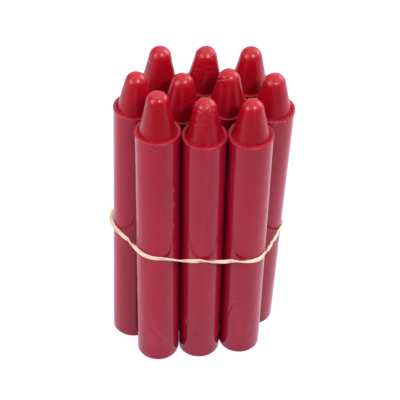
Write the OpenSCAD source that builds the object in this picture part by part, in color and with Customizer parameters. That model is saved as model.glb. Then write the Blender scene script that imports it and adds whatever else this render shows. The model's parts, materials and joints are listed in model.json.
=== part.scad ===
// A bundle of ten moulded wax crayons, held by one rubber band.
//
// Each crayon is one solid casting: a round body with a flat butt, a thin moulding lip at the shoulder
// and a tapered tip that ends in a dome. They stand packed like the cells of a honeycomb, in rows of
// three, four and three, and the bundle is turned a little round its own axis, so that every crayon
// leans past its neighbours without touching them. The flat rubber band goes round the eight outer
// crayons and rolls over itself on its way. A crayon slides out of the band along its own axis.
//
// Millimetres. The origin is under the middle of the bundle, on the surface that it stands on.
// +Z is up, +X runs along the row of four, and -Y is towards the front row.

/* [Crayon] */
// Diameter of the body
body_d = 12.7; // [10:0.1:15]
// Height of the shoulder above the butt
shoulder_h = 88.5; // [70:0.5:110]
// Height of the top of the dome above the shoulder
tip_h = 12.5; // [10:0.1:16]
// Radius of the tip at the shoulder, as a share of the body's radius
tip_share = 0.83; // [0.76:0.01:0.86]
// Radius of the dome, as a share of the body's radius
dome_share = 0.5; // [0.4:0.01:0.6]
// Radius of the rounded edge of the butt
butt_edge = 0.6; // [0.3:0.05:1.5]
// How far the moulding lip stands out past the body
lip_out = 0.12; // [0.05:0.01:0.16]
// Height of the moulding lip
lip_h = 0.9; // [0.7:0.05:1.5]
// Depth of the groove between the lip and the tip
groove = 0.35; // [0.25:0.05:0.45]

/* [Bundle] */
// Free space between the bodies of two neighbours
body_gap = 0.3; // [0.3:0.05:1]
// Turn of the bundle between its foot and its shoulders, in degrees
bundle_turn = 9.25; // [0:0.25:12]
// Height at which the bundle is narrowest
waist_h = 37.5; // [25:0.5:50]
// How far each crayon of the front row is pushed up, from left to right
front_lifts = [0.8, 0, 0.4]; // [0:0.1:2]
// How far each crayon of the middle row is pushed up, from left to right
middle_lifts = [0, 0, 1.6, 0.4]; // [0:0.1:2]
// How far each crayon of the back row is pushed up, from left to right
back_lifts = [0, 0, 0.8]; // [0:0.1:2]

/* [Rubber band] */
// Width of the strip
band_w = 1.4; // [1.2:0.1:2.4]
// Thickness of the strip
band_t = 0.55; // [0.5:0.05:1]
// Free space between the strip and the wax
band_clearance = 0.15; // [0.12:0.01:0.3]

/* [Hidden] */

wax_red = "#b01c34";
band_cream = "#ecd9b4";

body_r = body_d / 2;
tip_r = body_r * tip_share;
dome_r = body_r * dome_share;
pitch = body_d + body_gap;
row_step = pitch * sqrt(3) / 2;
turn_per_mm = tan(bundle_turn) / shoulder_h;

// The lip's bead lies between the tip's foot and the lip's edge, and is round on top.
bead_r = (body_r + lip_out - tip_r) * 0.42;
bead_centre = [body_r + lip_out - bead_r, shoulder_h - bead_r];
bead_end_angle = 150;

// The tip's straight side touches the dome where the dome's surface has this slope from the side.
dome_centre = [0, shoulder_h + tip_h - dome_r];
tip_foot = [tip_r, shoulder_h - groove];
tip_rise = dome_centre.y - tip_foot.y;
dome_start_angle = acos(dome_r / norm([tip_r, tip_rise])) - atan2(tip_rise, tip_r);

function arc(centre, radius, from, to, steps) =
    [for (i = [0:steps]) centre + radius * angle_vector(from + (to - from) * i / steps)];

function angle_vector(a) = [cos(a), sin(a)];

crayon_profile = concat(
    [[0, 0]],
    arc([body_r - butt_edge, butt_edge], butt_edge, -90, 0, 4),
    [[body_r, shoulder_h - lip_h]],
    arc(bead_centre, bead_r, 0, bead_end_angle, 6),
    [tip_foot],
    arc(dome_centre, dome_r, dome_start_angle, 90, 8)
);

// Where the crayon in this column and row crosses the waist. Columns count pitches from the middle.
function waist_point(column, row) = [column * pitch, row * row_step];

// The crayon's slope: how far its axis moves sideways for each millimetre upwards.
function slope(column, row) =
    let (p = waist_point(column, row)) turn_per_mm * [p.y, -p.x];

function point_at_height(column, row, z) =
    waist_point(column, row) + (z - waist_h) * slope(column, row);

// A leaning crayon stands on the edge of its butt, so the butt's centre is a little higher.
function butt_height(lean, lift) =
    butt_edge * (1 - cos(lean)) + (body_r - butt_edge) * sin(lean) + lift * cos(lean);

module crayon() {
    color(wax_red)
        rotate_extrude($fn = 96)
            polygon(crayon_profile);
}

// A crayon in its place in the bundle.
module bundled_crayon(column, row, lift) {
    side = slope(column, row);
    lean = atan(norm(side));
    z = butt_height(lean, lift);
    foot = point_at_height(column, row, z);
    translate([foot.x, foot.y, z])
        rotate([0, lean, atan2(side.y, side.x)])
            crayon();
}

module crayon_front_left() bundled_crayon(-1, -1, front_lifts[0]);
module crayon_front_centre() bundled_crayon(0, -1, front_lifts[1]);
module crayon_front_right() bundled_crayon(1, -1, front_lifts[2]);
module crayon_middle_far_left() bundled_crayon(-1.5, 0, middle_lifts[0]);
module crayon_middle_left() bundled_crayon(-0.5, 0, middle_lifts[1]);
module crayon_middle_right() bundled_crayon(0.5, 0, middle_lifts[2]);
module crayon_middle_far_right() bundled_crayon(1.5, 0, middle_lifts[3]);
module crayon_back_left() bundled_crayon(-1, 1, back_lifts[0]);
module crayon_back_centre() bundled_crayon(0, 1, back_lifts[1]);
module crayon_back_right() bundled_crayon(1, 1, back_lifts[2]);

// The band's way round: the column and row of the six corner crayons, anticlockwise from above, with
// the height at which the band crosses each.
band_corners = [[-1, 1, 45], [-1.5, 0, 46], [-1, -1, 46.4], [1, -1, 43.8], [1.5, 0, 42.6], [1, 1, 43]];
corner_count = len(band_corners);

// Per cent of the way round from the middle of the back, and the band's height there.
band_heights = [
    [0, 44.1], [12, 45.3], [24, 46], [28, 45.3], [33, 46.4], [37, 47], [41, 46.4], [45, 45.5], [51, 44.5],
    [57, 44], [62, 43.7], [66, 42.9], [70, 43.5], [75, 43.2], [88, 43.4], [100, 44.1]
];
// Per cent of the way round, and how many half turns the strip has made. Whatever it has rolled over
// along the front it rolls back along the rear, as a strip cut from a tube has to.
band_half_turns = [
    [0, 0], [25, 0], [29, 0.35], [31.5, 0.7], [33, 1.2], [36, 1.7], [40, 1.9], [45, 2.25], [51, 3.25],
    [57.5, 4.25], [62, 5.2], [66, 6.1], [69, 7.1], [71, 8.1], [73.5, 9], [77, 9], [100, 0]
];
band_rings = 240;
height_smoothing = 1.5;

function corner_centre(i) =
    let (c = band_corners[i % corner_count]) point_at_height(c[0], c[1], c[2]);

// The direction that the run after corner i faces, in degrees, growing by 60 or so from run to run.
function run_angle(i) =
    i < 0 ? run_angle(i + corner_count) - 360
    : let (run = corner_centre(i + 1) - corner_centre(i),
           raw = atan2(-run.x, run.y),
           expected = 90 + 60 * (i + 1))
      raw + 360 * round((expected - raw) / 360);

// The outline of the wax where the band goes round it, as [x, y, direction that the band faces].
hull_r = body_r + band_clearance;
back_angle = run_angle(-1);
back_middle = (corner_centre(corner_count - 1) + corner_centre(0)) / 2 + hull_r * angle_vector(back_angle);
corner_steps = 12;
band_outline = concat(
    [[back_middle.x, back_middle.y, back_angle]],
    [for (i = [0:corner_count - 1], j = [0:corner_steps])
        let (a = run_angle(i - 1) + (run_angle(i) - run_angle(i - 1)) * j / corner_steps,
             p = corner_centre(i) + hull_r * angle_vector(a))
        [p.x, p.y, a]],
    [[back_middle.x, back_middle.y, back_angle + 360]]
);
outline_points = len(band_outline);

function flat_distance(a, b) = norm([b.x - a.x, b.y - a.y]);

outline_lengths = [
    for (i = 0, s = 0; i < outline_points;
         s = s + (i + 1 < outline_points ? flat_distance(band_outline[i], band_outline[i + 1]) : 0), i = i + 1)
    s
];
outline_length = outline_lengths[outline_points - 1];

// What the outline's column says at this per cent of the way round.
function outline_at(percent, column) =
    lookup(percent, [for (i = [0:outline_points - 1])
        [100 * outline_lengths[i] / outline_length, band_outline[i][column]]]);

function wrapped(percent) = (percent % 100 + 100) % 100;

// The height plan with its corners taken off.
function band_height(percent) =
    let (values = [for (d = [-1, 0, 1]) lookup(wrapped(percent + d * height_smoothing), band_heights)])
    (values[0] + values[1] + values[2]) / 3;

// The four corners of the strip's section, rolled over by its half turns and clear of the wax.
function band_ring(percent) =
    let (facing = outline_at(percent, 2),
         out = [cos(facing), sin(facing), 0],
         up = [0, 0, 1],
         roll = 180 * lookup(percent, band_half_turns),
         reach = band_w / 2 * abs(sin(roll)) + band_t / 2 * abs(cos(roll)),
         centre = [outline_at(percent, 0), outline_at(percent, 1), band_height(percent)] + reach * out,
         along_width = up * cos(roll) + out * sin(roll),
         along_thickness = out * cos(roll) - up * sin(roll))
    [for (side = [[-1, -1], [1, -1], [1, 1], [-1, 1]])
        centre + side.x * band_w / 2 * along_width + side.y * band_t / 2 * along_thickness];

module rubber_band() {
    rings = [for (i = [0:band_rings - 1]) band_ring(100 * i / band_rings)];
    points = [for (ring = rings, corner = ring) corner];
    faces = [
        for (i = [0:band_rings - 1], j = [0:3])
            let (next_ring = 4 * ((i + 1) % band_rings),
                 a = 4 * i + j,
                 b = 4 * i + (j + 1) % 4,
                 c = next_ring + (j + 1) % 4,
                 d = next_ring + j)
            each [[a, b, c], [a, c, d]]
    ];
    color(band_cream)
        polyhedron(points, faces);
}

crayon_front_left();
crayon_front_centre();
crayon_front_right();
crayon_middle_far_left();
crayon_middle_left();
crayon_middle_right();
crayon_middle_far_right();
crayon_back_left();
crayon_back_centre();
crayon_back_right();
rubber_band();
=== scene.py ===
"""Looks for the crayon bundle: ten moulded wax crayons and the flat rubber band that holds them.

Each CAD crayon is replaced by a finely lathed casting with its own moulding marks, and the CAD strip
by a rolled latex band with soft edges and cutting grooves. Lengths in this file are in millimetres
until a mesh is made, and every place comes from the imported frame.
"""

import json
import math

import bpy
import numpy as np
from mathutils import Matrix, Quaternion, Vector

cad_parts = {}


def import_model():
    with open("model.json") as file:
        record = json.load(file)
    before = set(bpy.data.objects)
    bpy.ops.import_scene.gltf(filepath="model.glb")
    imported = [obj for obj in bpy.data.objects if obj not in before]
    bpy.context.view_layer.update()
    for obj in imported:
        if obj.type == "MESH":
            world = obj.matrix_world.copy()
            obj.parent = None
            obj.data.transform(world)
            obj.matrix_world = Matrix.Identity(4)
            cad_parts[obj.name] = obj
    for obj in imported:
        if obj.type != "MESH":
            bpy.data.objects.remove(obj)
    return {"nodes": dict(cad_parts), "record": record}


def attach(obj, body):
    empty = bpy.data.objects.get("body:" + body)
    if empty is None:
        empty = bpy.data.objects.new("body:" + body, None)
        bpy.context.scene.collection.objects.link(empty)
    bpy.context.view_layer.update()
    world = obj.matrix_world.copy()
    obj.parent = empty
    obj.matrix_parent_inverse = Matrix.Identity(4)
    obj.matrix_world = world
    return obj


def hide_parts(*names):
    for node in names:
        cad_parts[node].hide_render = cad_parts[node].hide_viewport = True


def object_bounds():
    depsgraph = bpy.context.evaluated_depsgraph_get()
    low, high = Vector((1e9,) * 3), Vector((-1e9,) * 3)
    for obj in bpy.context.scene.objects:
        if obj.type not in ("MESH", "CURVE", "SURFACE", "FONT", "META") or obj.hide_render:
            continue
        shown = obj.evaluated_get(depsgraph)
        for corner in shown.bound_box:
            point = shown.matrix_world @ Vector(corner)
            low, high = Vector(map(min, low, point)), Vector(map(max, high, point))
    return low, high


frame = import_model()
cad_low, cad_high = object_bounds()

MM = 0.001
UP = np.array([0.0, 0.0, 1.0])

# ---------------------------------------------------------------- design measures
# The first three are the CAD model's. The lip is finer here, and the strip narrower, than in the CAD.

TIP_SHARE = 0.83  # the tip's foot, as a share of the body's radius
DOME_SHARE = 0.5  # the dome's radius, as a share of the body's radius
BUTT_EDGE = 0.6  # radius of the butt's rounded edge
HOLLOW_SHARE = 0.62  # a place on the butt, as a share of the body's radius
BUTT_HOLLOWS = 0.35, 0.12  # how far the butt is sunk in its middle and at that place
LIP_HEIGHT = 0.6  # from the straight body to the lip's top
LIP_BEAD = 0.35  # radius of the lip's rounded edge
GROOVE_DEPTH = 0.4  # how far the tip's foot lies below the lip
BAND_WIDTH = 1.15
BAND_THICKNESS = 0.5
BAND_CLEARANCE = 0.15  # between the wax and the rubber
CAD_BEAD_SHARE = 0.42  # the CAD lip's rounding, as a share of the ledge between the lip and the tip
FLARE_CUT = 0.06  # how much less the lip is widened than the body


# ---------------------------------------------------------------- small helpers


def smoothstep(low, high, x):
    t = np.clip((x - low) / (high - low), 0.0, 1.0)
    return t * t * (3 - 2 * t)


def bump(x, width):
    """A soft bell of height 1 round x = 0."""
    return np.exp(-((x / width) ** 2))


class Ripple:
    """A smooth random field over a crayon, periodic round it. Values are mostly within -1 and 1."""

    def __init__(self, seed, around, along, waves=18):
        rng = np.random.default_rng(seed)
        self.turns = rng.integers(-around, around + 1, waves)
        self.rate = rng.uniform(-1, 1, waves) * 2 * math.pi / along
        self.phase = rng.uniform(0, 2 * math.pi, waves)
        self.size = math.sqrt(2.0 / waves)

    def __call__(self, angle, height):
        total = np.zeros(np.broadcast(angle, height).shape)
        for turns, rate, phase in zip(self.turns, self.rate, self.phase):
            total += np.cos(turns * angle + rate * height + phase)
        return total * self.size


def new_object(name, vertices, faces, material):
    """A smooth-shaded mesh object from vertices in millimetres."""
    mesh = bpy.data.meshes.new(name)
    mesh.from_pydata((vertices * MM).tolist(), [], faces)
    mesh.validate()
    mesh.update()
    mesh.materials.append(material)
    mesh.polygons.foreach_set("use_smooth", [True] * len(mesh.polygons))
    made = bpy.data.objects.new(name, mesh)
    bpy.context.scene.collection.objects.link(made)
    return made


# ---------------------------------------------------------------- node helpers


class Nodes:
    """Builds a material's nodes, joined as they are made."""

    def __init__(self, name):
        self.material = bpy.data.materials.new(name)
        self.material.use_nodes = True
        self.tree = self.material.node_tree
        self.tree.nodes.clear()
        self.place = self.add("ShaderNodeTexCoord").outputs["Object"]

    def add(self, kind, **settings):
        node = self.tree.nodes.new(kind)
        for key, value in settings.items():
            setattr(node, key, value)
        return node

    def put(self, socket, value):
        if isinstance(value, bpy.types.NodeSocket):
            self.tree.links.new(value, socket)
        elif value is not None:
            socket.default_value = value

    def math(self, operation, a, b):
        node = self.add("ShaderNodeMath", operation=operation)
        self.put(node.inputs[0], a)
        self.put(node.inputs[1], b)
        return node.outputs[0]

    def stretched(self, scale):
        """The object's coordinates in millimetres, scaled per axis."""
        node = self.add("ShaderNodeMapping")
        self.put(node.inputs["Vector"], self.place)
        node.inputs["Scale"].default_value = [s / MM for s in scale]
        return node.outputs["Vector"]

    def noise(self, scale, detail=3.0, roughness=0.55, distortion=0.0):
        node = self.add("ShaderNodeTexNoise")
        self.put(node.inputs["Vector"], self.stretched(scale))
        node.inputs["Scale"].default_value = 1.0
        node.inputs["Detail"].default_value = detail
        node.inputs["Roughness"].default_value = roughness
        node.inputs["Distortion"].default_value = distortion
        return node.outputs["Fac"]

    def cells(self, scale):
        """The distance to the nearest of some scattered points."""
        node = self.add("ShaderNodeTexVoronoi", feature="F1")
        self.put(node.inputs["Vector"], self.stretched(scale))
        node.inputs["Scale"].default_value = 1.0
        node.inputs["Randomness"].default_value = 1.0
        return node.outputs["Distance"]

    def span(self, value, low, high, to_low=0.0, to_high=1.0, smooth=True):
        """The value carried from the first range into the second, and kept inside it."""
        node = self.add("ShaderNodeMapRange", interpolation_type="SMOOTHSTEP" if smooth else "LINEAR")
        self.put(node.inputs["Value"], value)
        for key, number in (("From Min", low), ("From Max", high), ("To Min", to_low), ("To Max", to_high)):
            node.inputs[key].default_value = number
        return node.outputs["Result"]

    def mix(self, factor, a, b):
        node = self.add("ShaderNodeMix", data_type="RGBA", blend_type="MIX")
        self.put(node.inputs["Factor"], factor)
        self.put(node.inputs["A"], a)
        self.put(node.inputs["B"], b)
        return node.outputs["Result"]

    def plus(self, value, share, amount):
        """The value with an amount added where the share is 1."""
        return self.math("ADD", value, self.math("MULTIPLY", share, amount))

    def place_along(self, axis):
        """The place along that axis, in metres."""
        node = self.add("ShaderNodeSeparateXYZ")
        self.put(node.inputs[0], self.place)
        return node.outputs[axis]

    def attribute(self, name):
        return self.add("ShaderNodeAttribute", attribute_name=name).outputs["Fac"]

    def relief(self, height, distance, strength=1.0, below=None):
        node = self.add("ShaderNodeBump")
        self.put(node.inputs["Height"], height)
        self.put(node.inputs["Normal"], below)
        node.inputs["Strength"].default_value = strength
        node.inputs["Distance"].default_value = distance * MM
        return node.outputs["Normal"]

    def surface(self, **values):
        shader = self.add("ShaderNodeBsdfPrincipled")
        for key, value in values.items():
            self.put(shader.inputs[key.replace("_", " ")], value)
        output = self.add("ShaderNodeOutputMaterial")
        self.tree.links.new(shader.outputs["BSDF"], output.inputs["Surface"])
        return self.material


# ---------------------------------------------------------------- materials


BODY_REDS = (0.24, 0.0008, 0.0155, 1), (0.27, 0.0012, 0.018, 1)
TIP_REDS = (0.212, 0.0006, 0.005, 1), (0.242, 0.0009, 0.0075, 1)
LIT_DOME_RED = (0.268, 0.0009, 0.007, 1)
STREAK_RED = (0.30, 0.004, 0.021, 1)
FOOT_SHADE_RED = (0.17, 0.0008, 0.0105, 1)
LIP_GLOW_RED = (0.265, 0.0015, 0.009, 1)
RUBBED_AND_SHEEN_RED = (0.38, 0.03, 0.07, 1)
CUT_SHADE_RED = (0.1, 0.0008, 0.0075, 1)
PIT_SHADE_RED = (0.13, 0.001, 0.007, 1)


def wax_red(n, body, pit):
    """Cloudy red with streaks on the body, pale where it is rubbed, with painted light and shade: painted
    shade darkens the foot, the deep cuts and the pits, the dome is painted lighter where light falls on its
    top, a painted glow deepens the lip, and one rub paints a sheen on a dome.
    """
    clouds = n.span(n.noise((0.09, 0.09, 0.045), detail=3.0), 0.32, 0.68)
    streaks = n.span(n.noise((0.9, 0.9, 0.03), detail=2.0), 0.5, 0.75)
    # Painted light: the dome is painted a lighter red than the rest of the tip, standing in for the light
    # that falls on its top.
    tip_red = n.mix(n.math("MULTIPLY", n.attribute("dome"), 0.8), n.mix(clouds, *TIP_REDS), LIT_DOME_RED)
    red = n.mix(n.attribute("tip"), n.mix(clouds, *BODY_REDS), tip_red)
    red = n.mix(n.math("MULTIPLY", streaks, n.math("MULTIPLY", body, 0.15)), red, STREAK_RED)
    # Painted shade: the wax is darkened towards the foot, over its lowest 45 mm, standing in for the shade
    # near the floor.
    red = n.mix(n.span(n.place_along("Z"), 0.0, 0.045, 0.5, 0.0, smooth=False), red, FOOT_SHADE_RED)
    # Painted glow: the lip is given a deeper, slightly brighter red, standing in for light shining through
    # the thin lip and falling on its top.
    red = n.mix(n.math("MULTIPLY", n.attribute("lip"), 0.7), red, LIP_GLOW_RED)
    # Pale where the wax is rubbed, and on the front centre dome a painted sheen that stands in for soft
    # highlights.
    red = n.mix(n.math("MULTIPLY", n.attribute("rubbed_and_sheen"), 0.5), red, RUBBED_AND_SHEEN_RED)
    # Painted shade: the marks that are cut deep are darkened.
    red = n.mix(n.attribute("cut_shade"), red, CUT_SHADE_RED)
    # Painted shade: the small pits in the body are darkened, as they would be in shade.
    return n.mix(n.math("MULTIPLY", pit, n.math("MULTIPLY", body, 0.3)), red, PIT_SHADE_RED)


def wax_roughness(n):
    """Glossy where the wax met the mould, duller on the tip, on the lip and where it was handled."""
    haze = n.noise((0.35, 0.35, 0.25), detail=4.0, roughness=0.62, distortion=0.4)
    rough = n.span(haze, 0.3, 0.75, 0.14, 0.19)
    rough = n.plus(rough, n.attribute("rubbed_and_sheen"), 0.16)
    rough = n.plus(rough, n.attribute("tip"), 0.13)
    rough = n.plus(rough, n.attribute("dome"), -0.04)
    rough = n.plus(rough, n.attribute("dulled"), 0.1)
    return n.plus(rough, n.attribute("lip"), 0.28)


def wax_skin(n, body, pit):
    """Fine relief: waves along the body and the tip, a grain everywhere but on the dome, and pits."""
    body_waves = n.noise((0.5, 0.5, 0.22), detail=3.0)
    tip_waves = n.noise((0.3, 0.3, 0.7), detail=2.0)
    grain = n.noise((3.2, 3.2, 3.2), detail=3.0, roughness=0.6)
    skin = n.relief(n.math("MULTIPLY", body_waves, body), 0.015, 0.5)
    skin = n.relief(n.math("MULTIPLY", tip_waves, n.attribute("tip")), 0.012, 0.5, skin)
    off_dome = n.math("SUBTRACT", 1.0, n.attribute("dome"))
    skin = n.relief(n.math("MULTIPLY", grain, off_dome), 0.003, 0.5, skin)
    return n.relief(n.math("MULTIPLY", pit, body), -0.015, 0.6, skin)


def wax_material():
    """Dense red wax, which light enters only a little."""
    n = Nodes("red_wax")
    body = n.math("SUBTRACT", 1.0, n.attribute("tip"))
    pit = n.span(n.cells((0.3, 0.3, 0.3)), 0.04, 0.1, 1.0, 0.0)
    return n.surface(
        Base_Color=wax_red(n, body, pit),
        Roughness=wax_roughness(n),
        IOR=1.44,
        Specular_IOR_Level=0.36,
        Subsurface_Weight=0.04,
        Subsurface_Radius=(1.0, 0.15, 0.12),
        Subsurface_Scale=1.5 * MM,
        Normal=wax_skin(n, body, pit),
    )


CREAMS = (0.49, 0.36, 0.26, 1), (0.575, 0.46, 0.36, 1)
GROOVE_SHADE_CREAM = (0.40, 0.26, 0.16, 1)
TALC = (0.72, 0.63, 0.54, 1)


def latex_material():
    """Natural latex strip: cream, slightly see-through at its edges, dusty with talc, with painted shade in
    its cutting grooves.
    """
    n = Nodes("natural_latex")
    clouds = n.noise((0.35, 0.35, 0.35), detail=3.0)
    dust = n.noise((4.0, 4.0, 4.0), detail=3.0, roughness=0.65)
    groove = n.attribute("groove")
    cream = n.mix(n.span(clouds, 0.3, 0.7), *CREAMS)
    # Painted shade: the strip's cutting grooves are darkened.
    cream = n.mix(n.math("MULTIPLY", groove, 0.5), cream, GROOVE_SHADE_CREAM)
    cream = n.mix(n.math("MULTIPLY", n.span(dust, 0.52, 0.72), 0.4), cream, TALC)
    skin = n.relief(dust, 0.015, 0.5)
    return n.surface(
        Base_Color=cream,
        Roughness=n.span(dust, 0.3, 0.7, 0.42, 0.62),
        IOR=1.5,
        Subsurface_Weight=0.35,
        Subsurface_Radius=(1.0, 0.75, 0.5),
        Subsurface_Scale=0.6 * MM,
        Normal=skin,
    )


# ---------------------------------------------------------------- crayons


# How far a crayon has settled sideways in the bundle: x, y.
SETTLED = {"crayon_front_left": (-0.15, -0.22)}


class Casting:
    """One crayon as the frame places it: its butt, its axis and its measures."""

    def __init__(self, node):
        mount = next(m for m in frame["record"]["mounts"] if m["name"] == node + "_butt")
        self.node = node
        foot = np.array(mount["pos_m"]) / MM
        self.butt = foot + np.array([*SETTLED.get(node, (0.0, 0.0)), 0.0])
        self.axis = -np.array(mount["axis"])
        points = np.array([v.co for v in frame["nodes"][node].data.vertices]) / MM - foot
        along = points @ self.axis
        out = np.linalg.norm(points - along[:, None] * self.axis, axis=1)
        self.length = along.max()
        self.lip_r = out.max()
        self.body_r = out[along < self.length / 2].max()
        ledge = self.lip_r - self.body_r * TIP_SHARE
        self.shoulder = along[out > self.lip_r - 0.01].mean() + ledge * CAD_BEAD_SHARE
        back = np.array([0.0, 1.0, 0.0])
        self.right = np.cross(back, self.axis)
        self.right /= np.linalg.norm(self.right)
        self.back = np.cross(self.axis, self.right)

    def placed(self, local):
        """Local points, x right, y back, z from the butt to the tip, in the row frame."""
        return self.butt + local[:, :1] * self.right + local[:, 1:2] * self.back + local[:, 2:] * self.axis


def arc(centre, radius, start, end, steps):
    """Points on an arc in the profile plane, the first one left out, with the angle in degrees."""
    turn = np.radians(np.linspace(start, end, steps + 1)[1:])
    return [(centre[0] + radius * math.cos(t), centre[1] + radius * math.sin(t)) for t in turn]


def line(start, end, steps):
    """Points on a straight line, the first one left out."""
    start = np.array(start)
    run = np.array(end) - start
    return [tuple(start + run * i / steps) for i in range(1, steps + 1)]


AROUND = 192  # points round a crayon
FINE_ROW = 0.25
COARSE_ROW = 0.7
FINE_BELOW_LIP = 2.5


def profile(c, longer_body, longer_tip, detailed_below):
    """The crayon's outline as (radius, height), with the heights of its shoulder and its top."""
    r = c.body_r
    shoulder = c.shoulder + longer_body
    tip_r = r * TIP_SHARE
    dome_r = r * DOME_SHARE
    bead = (c.lip_r - LIP_BEAD, shoulder - LIP_BEAD)
    dome = (0.0, c.length + longer_body + longer_tip - dome_r)
    foot = (tip_r, shoulder - GROOVE_DEPTH)
    rise = dome[1] - foot[1]
    start = math.degrees(math.acos(dome_r / math.hypot(tip_r, rise)) - math.atan2(rise, tip_r))
    points = [(0.0, BUTT_HOLLOWS[0])]
    points += line(points[-1], (r * HOLLOW_SHARE, BUTT_HOLLOWS[1]), 10)
    points += line(points[-1], (r - BUTT_EDGE, 0.0), 6)
    points += arc((r - BUTT_EDGE, BUTT_EDGE), BUTT_EDGE, -90, 0, 8)
    fine_steps = round((detailed_below - BUTT_EDGE) / FINE_ROW)
    coarse_top = shoulder - LIP_HEIGHT - FINE_BELOW_LIP
    coarse_steps = round((coarse_top - detailed_below) / COARSE_ROW)
    points += line(points[-1], (r, detailed_below), fine_steps)
    points += line(points[-1], (r, coarse_top), coarse_steps)
    points += line(points[-1], (r, shoulder - LIP_HEIGHT), round(FINE_BELOW_LIP / FINE_ROW))
    points += line(points[-1], (c.lip_r, bead[1]), 5)
    points += arc(bead, LIP_BEAD, 0, 110, 12)
    points += line(points[-1], (foot[0] + 0.16, shoulder - 0.16), 4)
    points += line(points[-1], (foot[0] + 0.06, foot[1] + 0.02), 3)
    points += line(points[-1], (foot[0] - 0.05, foot[1] + 0.12), 3)
    edge = (dome_r * math.cos(math.radians(start)), dome[1] + dome_r * math.sin(math.radians(start)))
    points += line(points[-1], edge, 60)
    points += arc(dome, dome_r, start, 90, 34)
    return np.array(points), shoulder, dome[1] + dome_r


def row_normals(rows):
    """The outward direction of every row of the outline."""
    steps = np.diff(rows, axis=0)
    slopes = np.vstack([steps[:1], (steps[1:] + steps[:-1]) / 2, steps[-1:]])
    normals = np.stack([slopes[:, 1], -slopes[:, 0]], 1)
    return normals / np.linalg.norm(normals, axis=1)[:, None]


def groove(depth, width, *path):
    """A mark cut into the wax along a path of (degrees round, millimetres above the shoulder)."""
    return depth, width, path


def ridge(height, width, *path):
    """A mark that stands proud of the wax along such a path."""
    return -height, width, path


def body_waves(seed, angle, height):
    """Slow waves of the casting."""
    return 0.022 * Ripple(seed, 3, 60)(angle, height) + 0.007 * Ripple(seed + 1, 9, 9)(angle, height)


def tip_hollows(seed, angle, height):
    """The hollows that the wax leaves as it shrinks."""
    return 0.022 * Ripple(seed + 2, 2, 4.5)(angle, height) + 0.005 * Ripple(seed + 8, 3, 1.5)(angle, height)


def turning_marks(seed, angle, height, above):
    """What the mould's cutter left on the tip, in patches."""
    sway = Ripple(seed + 3, 2, 5)(angle, height)
    comb = 0.6 * np.sin(2 * math.pi * above / 1.4 + 1.6 * sway) + Ripple(seed + 14, 5, 1.3)(angle, height)
    return 0.01 * comb * smoothstep(-0.6, 0.9, Ripple(seed + 4, 3, 6)(angle, height))


def dome_wrinkles(seed, angle, height):
    """Wrinkles where the dome's skin set first."""
    folds = Ripple(seed + 9, 3, 1.7)(angle, height)
    return 0.045 * (1 - 2 * np.tanh(1.4 * folds) ** 2)


def lip_flash(seed, angle, level):
    """Wax that crept into the mould's joint."""
    return 0.05 * (Ripple(seed + 5, 30, 40)(angle, level) + 0.7 * Ripple(seed + 6, 9, 40)(angle, level))


def butt_scrapes(seed, angle, radius):
    """Shallow marks from scraping the butt flat."""
    return 0.03 * Ripple(seed + 7, 7, 3)(angle, radius)


SHADED_CUT_DEPTH = 0.05  # a mark gets painted shade where it is cut deeper than this
CUT_SHADE_GAIN = 7


def cut_marks(local, out, marks, rows, c, shoulder):
    """Cuts the grooves and raises the ridges in place, and returns how much painted shade each point gets
    in the deep cuts.
    """
    cut_shade = np.zeros(len(local))
    for depth, width, path in marks:
        spots = np.array([on_surface(rows, c, shoulder, degrees, up) for degrees, up in finer(path)])
        cut = depth * bump(path_distance(local, spots), width)
        cut_shade += np.clip(cut - SHADED_CUT_DEPTH, 0, 1) * CUT_SHADE_GAIN
        local -= out * cut[:, None]
    return cut_shade


def rubbed_and_sheen_wax(seed, rubs, body_r, round_it, up):
    """How rubbed each point is: faint traces all over, and the rubs. A rub on a dome also paints a sheen
    there.
    """
    rubbed_and_sheen = 0.2 * smoothstep(
        0.7, 1.8, Ripple(seed + 12, 12, 120)(round_it, up) * Ripple(seed + 13, 3, 25)(round_it, up))
    for rub in rubs:
        rubbed_and_sheen += rub_strength(rub, body_r, round_it, up, seed + 11)
    return rubbed_and_sheen


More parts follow.
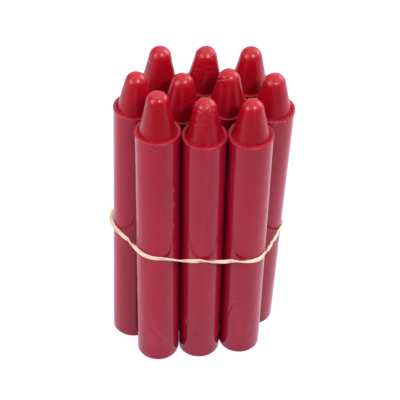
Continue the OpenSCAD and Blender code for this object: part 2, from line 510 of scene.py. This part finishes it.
def crayon(node, material, seed, longer_body=0.0, longer_tip=0.0, flat_top=0.0, lean=(0.0, 0.0),
           wider=0.11, rings=0.5, ragged=0.3, wrinkled=0.0, lumpy=1.0, dulled=0.8,
           detailed_below=3.0, marks=(), rubs=()):
    """A casting with its own marks.

    longer_body, longer_tip and wider are what it has over the CAD crayon, the last in its radius.
    flat_top cuts that much off the dome, lean bends the tip's top sideways, rings is the depth
    of the turning marks on the tip in hundredths of a millimetre, ragged is the lip's flash,
    wrinkled and lumpy are how uneven the dome and the tip came out, and dulled is how far handling
    has taken the gloss off the dome. The marks come from groove() and ridge(). A rub is (degrees
    round, height above the shoulder, length, width, tilt in degrees, strength). Rows are fine below
    detailed_below and just under the lip.
    """
    c = Casting(node)
    c.body_r += wider
    c.lip_r += wider - FLARE_CUT
    rows, shoulder, top = profile(c, longer_body, longer_tip, detailed_below)
    radius, height = rows[1:-1, 0][:, None], rows[1:-1, 1][:, None]
    normal = row_normals(rows)[1:-1]
    angle = (np.arange(AROUND) * 2 * math.pi / AROUND)[None, :]
    above = height - shoulder
    tip_h = top - shoulder

    on_tip = smoothstep(0.4, 2.0, above)
    on_dome = smoothstep(tip_h - 3.6, tip_h - 2.0, above)
    on_cone = on_tip * (1 - 0.85 * on_dome)
    at_lip = bump(above + 0.35, 0.42) * (above > -2)
    at_butt = (height < 0.4) & (normal[:, 1:] < -0.7)
    shift = body_waves(seed, angle, height)
    shift = shift + on_tip * lumpy * tip_hollows(seed, angle, height)
    shift = shift + on_cone * rings * turning_marks(seed, angle, height, above)
    shift = shift + on_dome * wrinkled * dome_wrinkles(seed, angle, height)
    shift = shift + at_lip * ragged * lip_flash(seed, angle, 0 * height)
    shift = shift + at_butt * butt_scrapes(seed, angle, radius)

    local = lathed(radius + shift * normal[:, :1], height + shift * normal[:, 1:], angle)
    out = lathed(normal[:, :1], normal[:, 1:], angle)
    cut_shade = cut_marks(local, out, marks, rows, c, shoulder)
    tip_z = top
    if flat_top:
        local[:, 2] = pressed(local[:, 2], top - flat_top)
        tip_z = pressed(top, top - flat_top)

    ends = np.array([[0.0, 0.0, rows[0, 1]], [0.0, 0.0, tip_z]])
    points = np.vstack([local, ends])
    round_it = np.arctan2(points[:, 1], points[:, 0])
    up = points[:, 2] - shoulder
    bent = np.clip(up / tip_h, 0, 1) ** 1.5
    points[:, :2] += bent[:, None] * np.array(lean)

    made = new_object(node.replace("crayon", "wax"), c.placed(points), lathe_faces(len(radius)), material)
    paint(made, "rubbed_and_sheen", rubbed_and_sheen_wax(seed, rubs, c.body_r, round_it, up))
    # Painted shade in the deep cuts, for the material.
    paint(made, "cut_shade", np.append(cut_shade, [0.0, 0.0]))
    paint(made, "tip", smoothstep(0.0, 0.6, up))
    paint(made, "lip", bump(up + 0.2, 0.36))
    paint(made, "dome", smoothstep(tip_h - 6.5, tip_h - 2.0, up))
    paint(made, "dulled", dulled * smoothstep(tip_h - 4.5, tip_h - 2.0, up))
    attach(made, node)
    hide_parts(node)
    return made


def lathed(radius, height, angle):
    """Points at that radius and height for every angle, row after row."""
    radius = np.broadcast_to(radius, (len(radius), AROUND))
    height = np.broadcast_to(height, radius.shape)
    return np.stack([radius * np.cos(angle), radius * np.sin(angle), height], -1).reshape(-1, 3)


def pressed(height, lid, soft=0.22):
    """The height kept softly under a lid."""
    return lid - soft * np.logaddexp(0, (lid - height) / soft)


def rub_strength(rub, body_r, round_it, up, seed):
    """How strongly a rub has dulled each point."""
    degrees, height, long, wide, tilt, strength = rub
    across = ((round_it - math.radians(degrees) + math.pi) % (2 * math.pi) - math.pi) * body_r
    along = up - height
    t = math.radians(tilt)
    u = across * math.cos(t) + along * math.sin(t)
    v = along * math.cos(t) - across * math.sin(t)
    scratchy = Ripple(seed, 24, 2.5, 30)(u / body_r, v * 0.2)
    return strength * bump(u, wide) * bump(v, long / 2) * np.clip(0.5 + 0.5 * scratchy, 0.1, 1)


def paint(made, name, values):
    """Stores a number from 0 to 1 on every vertex, for the material."""
    layer = made.data.attributes.new(name, "FLOAT", "POINT")
    layer.data.foreach_set("value", np.clip(values, 0, 1))


def lathe_faces(rows):
    """Quads between the rows, and fans at the butt's middle and the top."""
    faces = []
    for i in range(rows - 1):
        a, b = i * AROUND, (i + 1) * AROUND
        for j in range(AROUND):
            k = (j + 1) % AROUND
            faces.append((a + j, a + k, b + k, b + j))
    butt, tip = rows * AROUND, rows * AROUND + 1
    last = (rows - 1) * AROUND
    for j in range(AROUND):
        k = (j + 1) % AROUND
        faces.append((butt, k, j))
        faces.append((last + j, last + k, tip))
    return faces


def finer(path, step=6):
    """The path with extra points, so that it follows the round wax."""
    points = [path[0]]
    for a, b in zip(path[:-1], path[1:]):
        points += line(a, b, math.ceil(abs(b[0] - a[0]) / step) + 1)
    return points


def on_surface(rows, c, shoulder, degrees, above):
    """The point of the wax at this many degrees round and millimetres above the shoulder."""
    height = min(shoulder + above, rows[-1, 1])
    on_tip = rows[:, 1] > shoulder + 0.05
    radius = np.interp(height, rows[on_tip, 1], rows[on_tip, 0]) if above > 0.05 else c.body_r
    turn = math.radians(degrees)
    return radius * math.cos(turn), radius * math.sin(turn), height


def path_distance(points, spots):
    """The distance of every point from a path of straight steps, or from a single spot."""
    nearest = np.linalg.norm(points - spots[0], axis=1)
    for a, b in zip(spots[:-1], spots[1:]):
        run = b - a
        t = np.clip((points - a) @ run / (run @ run), 0, 1)
        nearest = np.minimum(nearest, np.linalg.norm(points - a - t[:, None] * run, axis=1))
    return nearest


# ---------------------------------------------------------------- rubber band

# The corner crayons, anticlockwise from above, with the height at which the band crosses each.
BAND_CORNERS = (
    ("crayon_back_left", 45), ("crayon_middle_far_left", 46), ("crayon_front_left", 46.4),
    ("crayon_front_right", 43.8), ("crayon_middle_far_right", 42.6), ("crayon_back_right", 43),
)
# Per cent of the way round from the middle of the back, and the band's height there.
BAND_HEIGHTS = (
    (0, 44.1), (12, 45.3), (24, 46), (28, 45.3), (33, 46.4), (37, 47), (41, 46.4), (45, 45.5), (51, 44.5),
    (57, 44), (62, 43.7), (66, 42.9), (70, 43.5), (73, 43), (76, 42.2), (80, 42.2), (88, 43.4), (100, 44.1),
)
# Per cent of the way round, and how many half turns the strip has made.
BAND_HALF_TURNS = (
    (0, 0), (22, 0.5), (25, 0.6), (29, 0.65), (31.5, 0.8), (33, 1.2), (36, 1.7), (40, 1.9), (45, 2.25),
    (51, 3.25), (57.5, 4.25), (61, 4.7), (64.8, 5.15), (68, 6.15), (70.8, 7), (78, 7), (100, 0),
)
CORNER_STEPS = 24
BAND_RINGS = 1500


def outward(degrees):
    """The level direction at that angle."""
    return np.array([math.cos(math.radians(degrees)), math.sin(math.radians(degrees))])


def band_outline():
    """The outline that the band lies on: x, y and the facing angle, with the per cent of the way round."""
    castings = [(Casting(node), height) for node, height in BAND_CORNERS]
    centres = [(c.butt + c.axis * (h - c.butt[2]) / c.axis[2])[:2] for c, h in castings]
    hull_r = castings[0][0].body_r + BAND_CLEARANCE
    count = len(centres)
    facing = []
    for i in range(count):
        run = centres[(i + 1) % count] - centres[i]
        raw = math.degrees(math.atan2(-run[0], run[1]))
        expected = 90 + 60 * (i + 1)
        facing.append(raw + 360 * round((expected - raw) / 360))
    facing.insert(0, facing[-1] - 360)

    middle = (centres[-1] + centres[0]) / 2 + hull_r * outward(facing[0])
    outline = [(*middle, facing[0])]
    for i in range(count):
        for j in range(CORNER_STEPS + 1):
            turn = facing[i] + (facing[i + 1] - facing[i]) * j / CORNER_STEPS
            outline.append((*(centres[i] + hull_r * outward(turn)), turn))
    outline.append((*middle, facing[0] + 360))
    outline = np.array(outline)
    lengths = np.concatenate([[0], np.cumsum(np.linalg.norm(np.diff(outline[:, :2], axis=0), axis=1))])
    return outline, 100 * lengths / lengths[-1]


BAND_CORNER = 0.22  # radius of the strip's edges
CUT_DEPTH = 0.11  # depth of the two cutting grooves on each face
CUT_PLACES = ((0.22, 0.11, 1.0), (-0.3, 0.1, 0.8))  # across the width: place, width and share of the depth


def strip_section():
    """The strip's section, anticlockwise: across its width and its thickness, and how far into a groove."""
    half_w, half_t, corner = BAND_WIDTH / 2, BAND_THICKNESS / 2, BAND_CORNER
    points = []
    for x, y, start in ((1, 1, 0), (-1, 1, 90), (-1, -1, 180), (1, -1, 270)):
        centre = (x * (half_w - corner), y * (half_t - corner))
        if points:
            before = points[-1]
            after = (centre[0] + corner * math.cos(math.radians(start)),
                     centre[1] + corner * math.sin(math.radians(start)))
            points += line(before, after, 9)[:-1]
        points += [(centre[0] + corner * math.cos(math.radians(start + 18 * k)),
                    centre[1] + corner * math.sin(math.radians(start + 18 * k))) for k in range(6)]
    points += line(points[-1], points[0], 4)[:-1]
    points = np.array(points)
    flat = smoothstep(half_t - 0.12, half_t - 0.02, np.abs(points[:, 1]))
    groove = flat * sum(share * bump(points[:, 0] - place, width) for place, width, share in CUT_PLACES)
    points[:, 1] -= np.sign(points[:, 1]) * CUT_DEPTH * groove
    return points, np.clip(groove, 0, 1)


def band_height(at):
    """The band's height at these places round it, with soft corners."""
    heights = np.array(BAND_HEIGHTS, float)
    return sum(np.interp((at + d) % 100, heights[:, 0], heights[:, 1]) for d in (-1.5, 0, 1.5)) / 3


def band_roll(at):
    """How far the strip has rolled about its own run at these places, in radians."""
    turns = np.array(BAND_HALF_TURNS, float)
    window = np.linspace(-0.9, 0.9, 7)
    first, last = turns[0, 1], turns[-1, 1]
    half_turns = [np.interp(at + d, turns[:, 0], turns[:, 1], first, last) for d in window]
    return math.pi * sum(half_turns) / len(window)


def band_stretch(at):
    """How many times wider and thicker than its section the strip is at these places."""
    # The strip is nearly square where it is wrung hardest, on the right.
    wrung = smoothstep(62, 67, at) * (1 - smoothstep(80, 86, at))
    uneven = 0.04 * np.sin(2 * math.pi * at / 100 * 23) * np.sin(2 * math.pi * at / 100 * 7)
    return 1 - 0.2 * wrung + uneven, 1 + 0.25 * wrung


def ring_faces(rings, size):
    """Quads between the rings of a closed loop."""
    faces = []
    for i in range(rings):
        a, b = i * size, (i + 1) % rings * size
        for j in range(size):
            k = (j + 1) % size
            faces.append((a + j, b + j, b + k, a + k))
    return faces


def rubber_band(material):
    """The strip, rolled as it goes round the wax and always just touching the outline."""
    outline, percent = band_outline()
    at = np.arange(BAND_RINGS) * 100.0 / BAND_RINGS
    x, y, facing = (np.interp(at, percent, outline[:, k]) for k in range(3))
    out = np.stack([np.cos(np.radians(facing)), np.sin(np.radians(facing)), 0 * facing], 1)
    roll = band_roll(at)
    across, along_out = np.sin(roll)[:, None], np.cos(roll)[:, None]
    wide = UP * along_out + out * across
    thick = out * along_out - UP * across
    wide_by, thick_by = band_stretch(at)
    reach = BAND_WIDTH / 2 * wide_by * np.abs(np.sin(roll))
    reach = reach + BAND_THICKNESS / 2 * thick_by * np.abs(np.cos(roll))
    centre = np.stack([x, y, band_height(at)], 1) + reach[:, None] * out
    section, groove = strip_section()
    widths = section[:, 0][None, :] * wide_by[:, None]
    depths = section[:, 1][None, :] * thick_by[:, None]
    points = centre[:, None, :] + widths[..., None] * wide[:, None, :]
    points = points + depths[..., None] * thick[:, None, :]
    faces = ring_faces(BAND_RINGS, len(section))
    made = new_object("latex_band", points.reshape(-1, 3), faces, material)
    # How far into a cutting groove each point lies, which the latex darkens with painted shade.
    paint(made, "groove", np.tile(groove, BAND_RINGS))
    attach(made, "band")
    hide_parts("rubber_band")
    return made


# ---------------------------------------------------------------- floor, light and camera


FLOOR_REACH = 3.0  # metres from the bundle to each edge of the floor


def floor():
    """A wide pale sheet that glows like a light table, so that it shows no shadow, and is dim in front."""
    corners = [(x * FLOOR_REACH, y * FLOOR_REACH, 0) for x, y in ((-1, -1), (1, -1), (1, 1), (-1, 1))]
    mesh = bpy.data.meshes.new("floor")
    mesh.from_pydata(corners, [], [(0, 1, 2, 3)])
    made = bpy.data.objects.new("floor", mesh)
    bpy.context.scene.collection.objects.link(made)
    n = Nodes("floor_white")
    backwards = n.place_along("Y")
    glow = n.span(backwards, -0.27, -0.04, 0.1, 1.0)
    glow = n.math("ADD", glow, n.span(backwards, 0.0, 0.07, 0.0, 0.25))
    mesh.materials.append(n.surface(
        Base_Color=(0.1, 0.1, 0.1, 1), Roughness=1.0, Specular_IOR_Level=0.0,
        Emission_Color=(0.95, 0.88, 1.06, 1), Emission_Strength=glow))


LIGHT_DISTANCE = 0.7


def soft_light(name, direction, size, power, target, colour=(1, 1, 1)):
    """A square soft box that looks at the target from that direction."""
    light = bpy.data.lights.new(name, "AREA")
    light.shape = "SQUARE"
    light.size = size
    light.energy = power
    light.color = colour
    made = bpy.data.objects.new(name, light)
    bpy.context.scene.collection.objects.link(made)
    toward = Vector(direction).normalized()
    made.location = target + toward * LIGHT_DISTANCE
    made.rotation_mode = "QUATERNION"
    made.rotation_quaternion = toward.to_track_quat("Z", "Y")


HORIZON, ZENITH = 0.75, 2.15  # how bright the room is, low down and overhead
BACK_GLOW = 0.9  # how much brighter the big screen behind the bundle is
FRONT_SHADE = 0.2  # what is left of all that in front, round the camera


def world():
    """A pale room, brighter overhead and high behind the bundle, and dim in front, round the camera."""
    made = bpy.data.worlds.new("room")
    bpy.context.scene.world = made
    made.use_nodes = True
    tree = made.node_tree
    tree.nodes.clear()
    toward = tree.nodes.new("ShaderNodeTexCoord").outputs["Generated"]

    def level(direction, *span):
        """A number that goes smoothly from one value to another as the view turns to that direction."""
        dot = tree.nodes.new("ShaderNodeVectorMath")
        dot.operation = "DOT_PRODUCT"
        tree.links.new(toward, dot.inputs[0])
        dot.inputs[1].default_value = Vector(direction).normalized()
        ramp = tree.nodes.new("ShaderNodeMapRange")
        ramp.interpolation_type = "SMOOTHSTEP"
        tree.links.new(dot.outputs["Value"], ramp.inputs["Value"])
        for key, number in zip(("From Min", "From Max", "To Min", "To Max"), span):
            ramp.inputs[key].default_value = number
        return ramp.outputs[0]

    sum_up = tree.nodes.new("ShaderNodeMath")
    tree.links.new(level((0.28, -0.1, 0.95), 0.35, 0.85, HORIZON, ZENITH), sum_up.inputs[0])
    tree.links.new(level((0, 0.8, 0.6), 0.65, 0.97, 0.0, BACK_GLOW), sum_up.inputs[1])
    strength = tree.nodes.new("ShaderNodeMath")
    strength.operation = "MULTIPLY"
    tree.links.new(sum_up.outputs[0], strength.inputs[0])
    tree.links.new(level((0.05, -1, 0.1), 0.5, 0.9, 1.0, FRONT_SHADE), strength.inputs[1])
    shade = tree.nodes.new("ShaderNodeBackground")
    tree.links.new(strength.outputs[0], shade.inputs["Strength"])
    output = tree.nodes.new("ShaderNodeOutputWorld")
    tree.links.new(shade.outputs[0], output.inputs["Surface"])


CAMERA_AZIMUTH, CAMERA_ELEVATION, CAMERA_ROLL = -8.02, 43.33, 3.19  # degrees
CAMERA_DISTANCE = 0.4423
CAMERA_LENS, CAMERA_SENSOR = 131.28, 36.0
CAMERA_AIM = (0.27, 0, 1.13)  # from the bundle's middle, in millimetres


def camera(middle):
    """Looks down at the bundle from in front and a little from the left."""
    azimuth, elevation = math.radians(CAMERA_AZIMUTH), math.radians(CAMERA_ELEVATION)
    level = math.cos(elevation)
    back = Vector((math.sin(azimuth) * level, -math.cos(azimuth) * level, math.sin(elevation)))
    roll = Quaternion((0, 0, 1), math.radians(CAMERA_ROLL))
    lens = bpy.data.cameras.new("camera")
    lens.sensor_width = CAMERA_SENSOR
    lens.lens = CAMERA_LENS
    lens.clip_start, lens.clip_end = 0.01, 20
    made = bpy.data.objects.new("camera", lens)
    bpy.context.scene.collection.objects.link(made)
    made.location = middle + Vector(CAMERA_AIM) * MM + back * CAMERA_DISTANCE
    made.rotation_mode = "QUATERNION"
    made.rotation_quaternion = back.to_track_quat("Z", "Y") @ roll
    bpy.context.scene.camera = made


# ---------------------------------------------------------------- the scene

bpy.context.scene.view_settings.view_transform = "Standard"
bpy.context.scene.view_settings.look = "None"

middle = Vector((0, 0, (cad_low.z + cad_high.z) / 2))
camera(middle)
floor()
world()
soft_light("key", (0.27, -0.56, 0.78), 0.1, 3.5, middle)
soft_light("left", (-0.79, -0.33, 0.52), 0.33, 3.5, middle)
soft_light("right", (0.78, 0.40, 0.47), 0.42, 3.8, middle, (0.98, 0.96, 1.12))

wax = wax_material()
crayon("crayon_front_left", wax, 11, longer_body=0.4, longer_tip=0.65, flat_top=0.5, wider=0.15,
       rings=1.4, lumpy=0.6, dulled=0.0, detailed_below=37, marks=(
    ridge(0.14, 0.22, (-128, -0.6), (-111, -0.7), (-100, -1.9), (-91, -0.6)),
    groove(0.15, 0.22, (-111, -52.5)),
    groove(0.22, 0.26, (-93, -54.2)),
    groove(0.13, 0.22, (-119, -66.5), (-110, -67.5)),
    groove(0.08, 0.35, (-168, -70), (-144, -73), (-112, -75), (-96, -79.5)),
    groove(0.07, 0.35, (-132, -65.5), (-99, -71)),
    groove(0.09, 0.3, (-147, -79)),
    ridge(0.1, 0.4, (-86, -81)),
    ridge(0.1, 0.4, (-81, -83)),
    ridge(0.1, 0.5, (-58, -15), (-44, -19)),
    ridge(0.1, 0.5, (-40, -23), (-53, -26)),
    ridge(0.1, 0.5, (-56, -30), (-44, -33)),
), rubs=((-122, -73, 16, 3.2, 30, 0.6), (-92, -81, 8, 3.0, 25, 0.55), (-105, -24, 16, 1.6, 35, 0.2)))
crayon("crayon_front_centre", wax, 22, wider=0.15, rings=2.8, wrinkled=0.8, detailed_below=27, marks=(
    ridge(0.06, 0.14, (-148, -34.5)),
    ridge(0.05, 0.3, (-164, -77), (-146, -73.5), (-136, -72)),
    groove(0.09, 0.2, (-136, -72), (-123, -74.5), (-114, -77)),
    groove(0.08, 0.25, (-111, -78), (-102, -75.5), (-81, -70), (-74, -64.5)),
    groove(0.07, 0.3, (-159, 10.2), (-135, 10.6), (-116, 10.4)),
    groove(0.08, 0.2, (-165, 9.1), (-129, 9.3)),
    groove(0.08, 0.25, (-104, 10.3), (-93, 10.1), (-78, 9.4)),
    groove(0.09, 0.2, (-74, 12), (-66, 11.4), (-76, 10.7)),
    ridge(0.06, 0.25, (-93, 11.7)),
    groove(0.08, 0.22, (-42, 10.7), (2, 10)),
    ridge(0.15, 0.25, (-140, 0.3), (-146, 1.0)),
    groove(0.13, 0.2, (-104, 0.15), (-94, 0.1)),
# The second rub paints a paler pink sheen on the dome, standing in for its soft highlights, and roughens
# it.
), rubs=((-118, -74, 10, 2.5, 35, 0.4), (-85, 11.2, 6, 3, 0, 0.3)))
crayon("crayon_front_right", wax, 33, longer_body=0.3, longer_tip=-0.3, wider=0.13,
       rings=0.4, lumpy=0.6, dulled=0.2, detailed_below=27, marks=(
    groove(0.12, 0.28, (-129, -69), (-123, -67), (-114, -65), (-101, -65)),
    ridge(0.12, 0.3, (-127, -71.5), (-122, -68.5), (-112, -66.5), (-103, -66.5)),
    groove(0.09, 0.25, (-58, -77), (-62, -79), (-76, -83)),
    groove(0.06, 0.3, (-63, -10)),
), rubs=((-112, -69, 8, 2.5, 20, 0.3), (-62, -78, 9, 1.5, -25, 0.35)))
crayon("crayon_middle_far_left", wax, 44, longer_body=0.3, longer_tip=-1.05, rings=0.5, marks=(
    ridge(0.09, 0.16, (-111, -4)),
    groove(0.05, 0.2, (-124, -21), (-112, -23)),
    groove(0.1, 0.2, (-124, -84)),
))
crayon("crayon_middle_left", wax, 55, longer_body=-0.6, rings=1.4, lumpy=1.6, marks=(
    ridge(0.05, 0.25, (-94, 5.6), (-84, 6.4)),
))
crayon("crayon_middle_right", wax, 66, rings=0.2, lumpy=0.7, marks=(
    groove(0.12, 0.2, (-198, 8.3), (-146, 10.9), (-101, 11.6)),
    groove(0.1, 0.2, (-198, 8.9), (-136, 11.4)),
    ridge(0.06, 0.2, (-166, 9.2), (-124, 11)),
    ridge(0.03, 0.3, (-85, 2), (-88, 9)),
    ridge(0.03, 0.25, (-70, 2), (-74, 8)),
))
crayon("crayon_middle_far_right", wax, 77, longer_body=0.6, longer_tip=-0.4,
       rings=1.3, ragged=1.1, lean=(-0.2, 0.0), marks=(
    ridge(0.13, 0.22, (-190, 11.6), (-177, 12.3)),
    ridge(0.13, 0.22, (-40, 11.8), (-30, 12.3)),
    groove(0.12, 0.22, (-117, 11.5), (-90, 11.2), (-66, 11.6)),
    groove(0.1, 0.2, (-158, 11.6), (-122, 11.2)),
    groove(0.04, 0.2, (-122, 4.6), (-82, 5.9), (-3, 3.6)),
    ridge(0.13, 0.35, (-110, -0.1)),
    ridge(0.16, 0.4, (-92, -0.4)),
    ridge(0.13, 0.35, (-68, -0.5)),
    ridge(0.12, 0.3, (-40, -0.5)),
))
crayon("crayon_back_left", wax, 88, rings=2.6, lean=(-0.1, 0.0), marks=(
    ridge(0.06, 0.3, (-78, 3.4), (-62, 3.4)),
))
crayon("crayon_back_centre", wax, 99, longer_body=0.5, rings=2.0, wrinkled=0.8, marks=(
    ridge(0.07, 0.3, (-54, 6.8), (-75, 5.7), (-94, 4), (-111, 1.5)),
    groove(0.08, 0.22, (-158, 9.2), (-128, 9.5)),
    groove(0.08, 0.2, (-156, 10.3), (-128, 11.4)),
))
crayon("crayon_back_right", wax, 110, longer_body=0.2, rings=0.15, lumpy=0.4, lean=(-0.2, 0.0))
rubber_band(latex_material())
